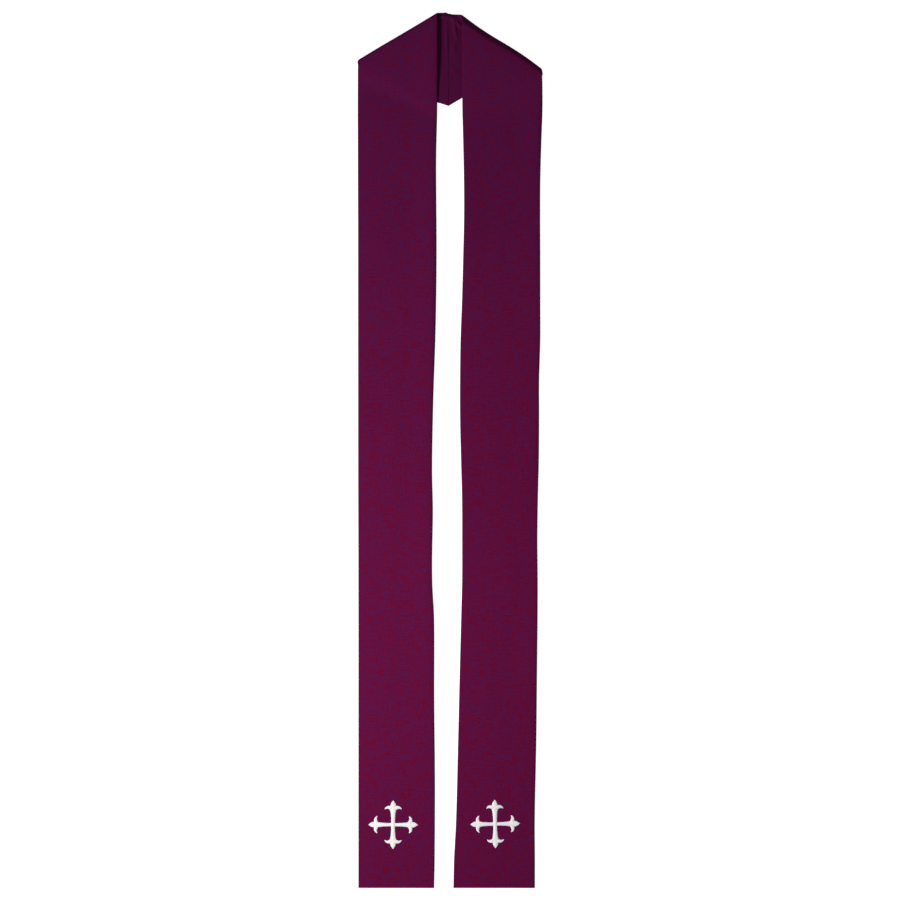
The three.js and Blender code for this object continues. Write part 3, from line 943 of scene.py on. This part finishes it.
def finish_of(name, group, values, depth, gloss, sheen, sheen_of):
    """A material whose colour, roughness and bump come from a group, by places on the cloth."""
    material = bpy.data.materials.new(name)
    material.use_nodes = True
    material.node_tree.nodes.clear()
    nodes = Nodes(material.node_tree)
    place = nodes.add("ShaderNodeUVMap", uv_map="cloth").outputs[0]
    effect = nodes.add("ShaderNodeGroup", {"Place": place, **values}, node_tree=group)
    relief = {"Height": effect.outputs["Height"], "Strength": 1.0, "Distance": depth}
    weight, brightness = sheen
    shader = nodes.add(
        "ShaderNodeBsdfPrincipled",
        {
            "Base Color": effect.outputs["Colour"],
            "Roughness": effect.outputs["Roughness"],
            "Normal": nodes.add("ShaderNodeBump", relief).outputs[0],
            "Sheen Weight": weight,
            "Sheen Roughness": SHEEN_ROUGHNESS,
            "Sheen Tint": scaled(sheen_of, brightness),
            "Specular IOR Level": gloss,
        },
    )
    nodes.add("ShaderNodeOutputMaterial", {"Surface": shader.outputs[0]})
    return material


def scaled(colour, factor=1.0):
    return (*(c * factor for c in colour), 1.0)


def cloth_material(name, warp, weft, threads_per_cm, slubs, roughness):
    values = {
        "Threads per metre": threads_per_cm * 100,
        "Warp": scaled(warp),
        "Weft": scaled(weft),
        "Gap shade": WEAVE_GAP_SHADE,
        "Slubs": slubs,
        "Roughness": roughness,
    }
    group = plain_weave_group()
    return finish_of(name, group, values, WEAVE_RELIEF, CLOTH_GLOSS, CLOTH_SHEEN, weft)


def thread_material(name, colour, roughness, gloss):
    values = {
        "Thread": scaled(colour),
        # A darker copy of the thread's colour for the hollows between fibres: painted shade.
        "Hollow shade": scaled(colour, HOLLOW_SHADE),
        "Roughness": roughness,
    }
    group = spun_thread_group()
    return finish_of(name, group, values, FIBRE_RELIEF, gloss, THREAD_SHEEN, colour)


def length_property(name, description, default, **limits):
    settings = {"name": name, "description": description, "default": default, **limits}
    return FloatProperty(unit="LENGTH", precision=5, **settings)


def colour_property(name, description, default):
    settings = {"name": name, "description": description, "default": default}
    return FloatVectorProperty(subtype="COLOR", min=0.0, max=1.0, **settings)


class StoleSizes(bpy.types.PropertyGroup):
    """Sizes of the cloth and its stitching."""

    ridge: length_property(
        "Turning ridge", "How far the turned edge under the face cloth raises it", 0.00014, min=0.0
    )
    turning: length_property(
        "Turning", "How wide the turned edge under the face cloth is", 0.012, min=0.004, max=0.03
    )
    edge_reach: length_property(
        "Edge rounding", "How far in from the edge the face cloth is rounded", 0.0030, min=0.0004
    )
    stitch: length_property(
        "Stitch width", "Width of one thread of the satin stitch", 0.00042, min=0.0002
    )
    threads_per_cm: FloatProperty(
        name="Threads per centimetre",
        description="How fine the face cloth's weave is",
        default=18.0,
        min=4.0,
    )


class StoleColours(bpy.types.PropertyGroup):
    """Colours of the cloth and threads."""

    face_warp: colour_property(
        "Face cloth warp", "Colour of the threads that run along the face cloth", WARP_COLOUR
    )
    face_weft: colour_property(
        "Face cloth weft", "Colour of the threads that run across the face cloth", WEFT_COLOUR
    )
    lining_depth: FloatProperty(
        name="Lining shade",
        description="How bright the lining is beside the face cloth",
        default=0.90,
        min=0.0,
        max=1.0,
        subtype="FACTOR",
    )
    sewing: colour_property(
        "Sewing thread", "Colour of the hand stitches round the lining", record_colour("lining")
    )
    embroidery: colour_property("Embroidery", "Colour of the crosses' thread", THREAD_COLOUR)


class StoleLight(bpy.types.PropertyGroup):
    """Strengths of the lights."""

    key: FloatProperty(
        name="Key light",
        description="Power of the soft light from the lower left",
        default=21.1,
        min=0.0,
        unit="POWER",
    )
    room: FloatProperty(
        name="Room light",
        description="Strength of the even light from all round",
        default=0.16,
        min=0.0,
    )
    floor: FloatProperty(
        name="Floor glow",
        description="How far the floor's own picture is brightened, which keeps it pale",
        default=0.93,
        min=0.0,
    )


class STOLE_OT_bands(bpy.types.Operator):
    """Make the face cloth of both bands, from the centre-back seam to the hems"""

    bl_idname = "stole.bands"
    bl_label = "Face cloth"

    def execute(self, context):
        sizes, colours = context.scene.stole_sizes, context.scene.stole_colours
        warp, weft, fine = colours.face_warp, colours.face_weft, sizes.threads_per_cm
        material = cloth_material("plum plain weave", warp, weft, fine, **FACE_FINISH)
        for side, band in BANDS.items():
            grid = sheet_grid(band, 0.0, COLUMNS)
            top, bottom = face_heights(grid, sizes)
            piece = wall_object(f"{side}_band_cloth", grid, top, bottom, material)
            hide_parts(f"{side}_front", f"{side}_back")
            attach(piece, "root")
        return {"FINISHED"}


class STOLE_OT_linings(bpy.types.Operator):
    """Make the lining of both bands, which shows at the back of the neck"""

    bl_idname = "stole.linings"
    bl_label = "Lining"

    def execute(self, context):
        sizes, colours = context.scene.stole_sizes, context.scene.stole_colours
        dyes = (colours.face_warp, colours.face_weft)
        warp, weft = (scaled(dye, colours.lining_depth)[:3] for dye in dyes)
        fine = sizes.threads_per_cm * LINING_FINER
        material = cloth_material("plum lining", warp, weft, fine, **LINING_FINISH)
        for side, band in BANDS.items():
            grid = sheet_grid(band, LINING_INSET, COLUMNS)
            top, bottom = lining_heights(grid, band["dip"])
            piece = wall_object(f"{side}_band_lining", grid, top, bottom, material)
            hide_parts(f"{side}_front_lining", f"{side}_back_lining")
            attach(piece, "root")
        return {"FINISHED"}


class STOLE_OT_slip_stitches(bpy.types.Operator):
    """Make the hand stitches that hold the lining's edges"""

    bl_idname = "stole.slip_stitches"
    bl_label = "Slip stitches"

    def execute(self, context):
        colour = context.scene.stole_colours.sewing
        material = thread_material("plum sewing thread", colour, **SEWING_FINISH)
        for side in BANDS:
            piece = slip_stitch_object(side, material)
            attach(piece, "root")
        return {"FINISHED"}


class STOLE_OT_crosses(bpy.types.Operator):
    """Make the two embroidered crosses"""

    bl_idname = "stole.crosses"
    bl_label = "Crosses"

    def execute(self, context):
        sizes, colours = context.scene.stole_sizes, context.scene.stole_colours
        colour = colours.embroidery
        material = thread_material("white embroidery thread", colour, **EMBROIDERY_FINISH)
        for side in CROSSES:
            piece = cross_object(side, sizes, material)
            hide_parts(f"{side}_cross")
            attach(piece, "root")
        return {"FINISHED"}


class STOLE_OT_stage(bpy.types.Operator):
    """Make the floor, the lights and the camera"""

    bl_idname = "stole.stage"
    bl_label = "Stage"

    def execute(self, context):
        scene, light = context.scene, context.scene.stole_light
        scene.view_settings.view_transform = "Standard"
        bpy.ops.mesh.primitive_plane_add(size=FLOOR_SIZE)
        floor = context.object
        floor.name = "floor"
        floor.data.materials.append(floor_material(light.floor))
        key = bpy.data.lights.new("key light", "AREA")
        key.energy = light.key
        key.size = KEY_SIZE
        key.color = KEY_COLOUR
        lamp = bpy.data.objects.new("key light", key)
        lamp.location = KEY_PLACE
        aim = Vector(KEY_AIM) - lamp.location
        lamp.rotation_euler = aim.to_track_quat("-Z", "Y").to_euler()
        lamp.visible_camera = False
        scene.collection.objects.link(lamp)
        scene.world = pale_room(light.room)
        camera = bpy.data.cameras.new("camera")
        camera.lens, camera.sensor_width = LENS_MM, SENSOR_MM
        eye = bpy.data.objects.new("camera", camera)
        eye.location = (0, 0, VIEW_WIDTH * LENS_MM / SENSOR_MM)
        scene.collection.objects.link(eye)
        scene.camera = eye
        return {"FINISHED"}


def pale_room(strength):
    """Even light from all round, with a backdrop that is seen pale."""
    world = bpy.data.worlds.new("room")
    world.use_nodes = True
    nodes = Nodes(world.node_tree)
    seen = nodes.add("ShaderNodeLightPath").outputs["Is Camera Ray"]
    brightness = nodes.math("MULTIPLY_ADD", seen, BACKDROP - strength, strength)
    background = world.node_tree.nodes["Background"]
    nodes.fill(background, {"Color": WHITE, "Strength": brightness})
    return world


def floor_material(glow):
    """A plain pale floor that is seen nearly white, and throws back only its own light."""
    material = bpy.data.materials.new("pale floor")
    material.use_nodes = True
    nodes = Nodes(material.node_tree)
    seen = nodes.add("ShaderNodeLightPath").outputs["Is Camera Ray"]
    looks = {
        "Base Color": FLOOR_COLOUR,
        "Roughness": FLOOR_ROUGHNESS,
        "Specular IOR Level": 0.0,
        "Emission Color": WHITE,
        "Emission Strength": nodes.math("MULTIPLY", seen, glow),
    }
    nodes.fill(material.node_tree.nodes["Principled BSDF"], looks)
    return material


class STOLE_PT_panel(bpy.types.Panel):
    """Lists what the stole is made of"""

    bl_label = "Clergy stole"
    bl_space_type = "VIEW_3D"
    bl_region_type = "UI"
    bl_category = "Stole"

    def draw(self, context):
        scene = context.scene
        for group in (scene.stole_sizes, scene.stole_colours, scene.stole_light):
            box = self.layout.box()
            for name in group.bl_rna.properties.keys():
                if name not in ("rna_type", "name"):
                    box.prop(group, name)
        for operator in OPERATORS:
            self.layout.operator(operator.bl_idname)


PROPERTY_GROUPS = {
    "stole_sizes": StoleSizes,
    "stole_colours": StoleColours,
    "stole_light": StoleLight,
}
OPERATORS = (
    STOLE_OT_bands,
    STOLE_OT_linings,
    STOLE_OT_slip_stitches,
    STOLE_OT_crosses,
    STOLE_OT_stage,
)


def register():
    for name, group in PROPERTY_GROUPS.items():
        bpy.utils.register_class(group)
        setattr(bpy.types.Scene, name, PointerProperty(type=group))
    for each in (*OPERATORS, STOLE_PT_panel):
        bpy.utils.register_class(each)


def unregister():
    for each in (STOLE_PT_panel, *reversed(OPERATORS)):
        bpy.utils.unregister_class(each)
    for name, group in PROPERTY_GROUPS.items():
        delattr(bpy.types.Scene, name)
        bpy.utils.unregister_class(group)


def main():
    """Makes the stole and its stage."""
    register()
    bpy.ops.stole.bands()
    bpy.ops.stole.linings()
    bpy.ops.stole.slip_stitches()
    bpy.ops.stole.crosses()
    bpy.ops.stole.stage()


if __name__ == "__main__":
    main()
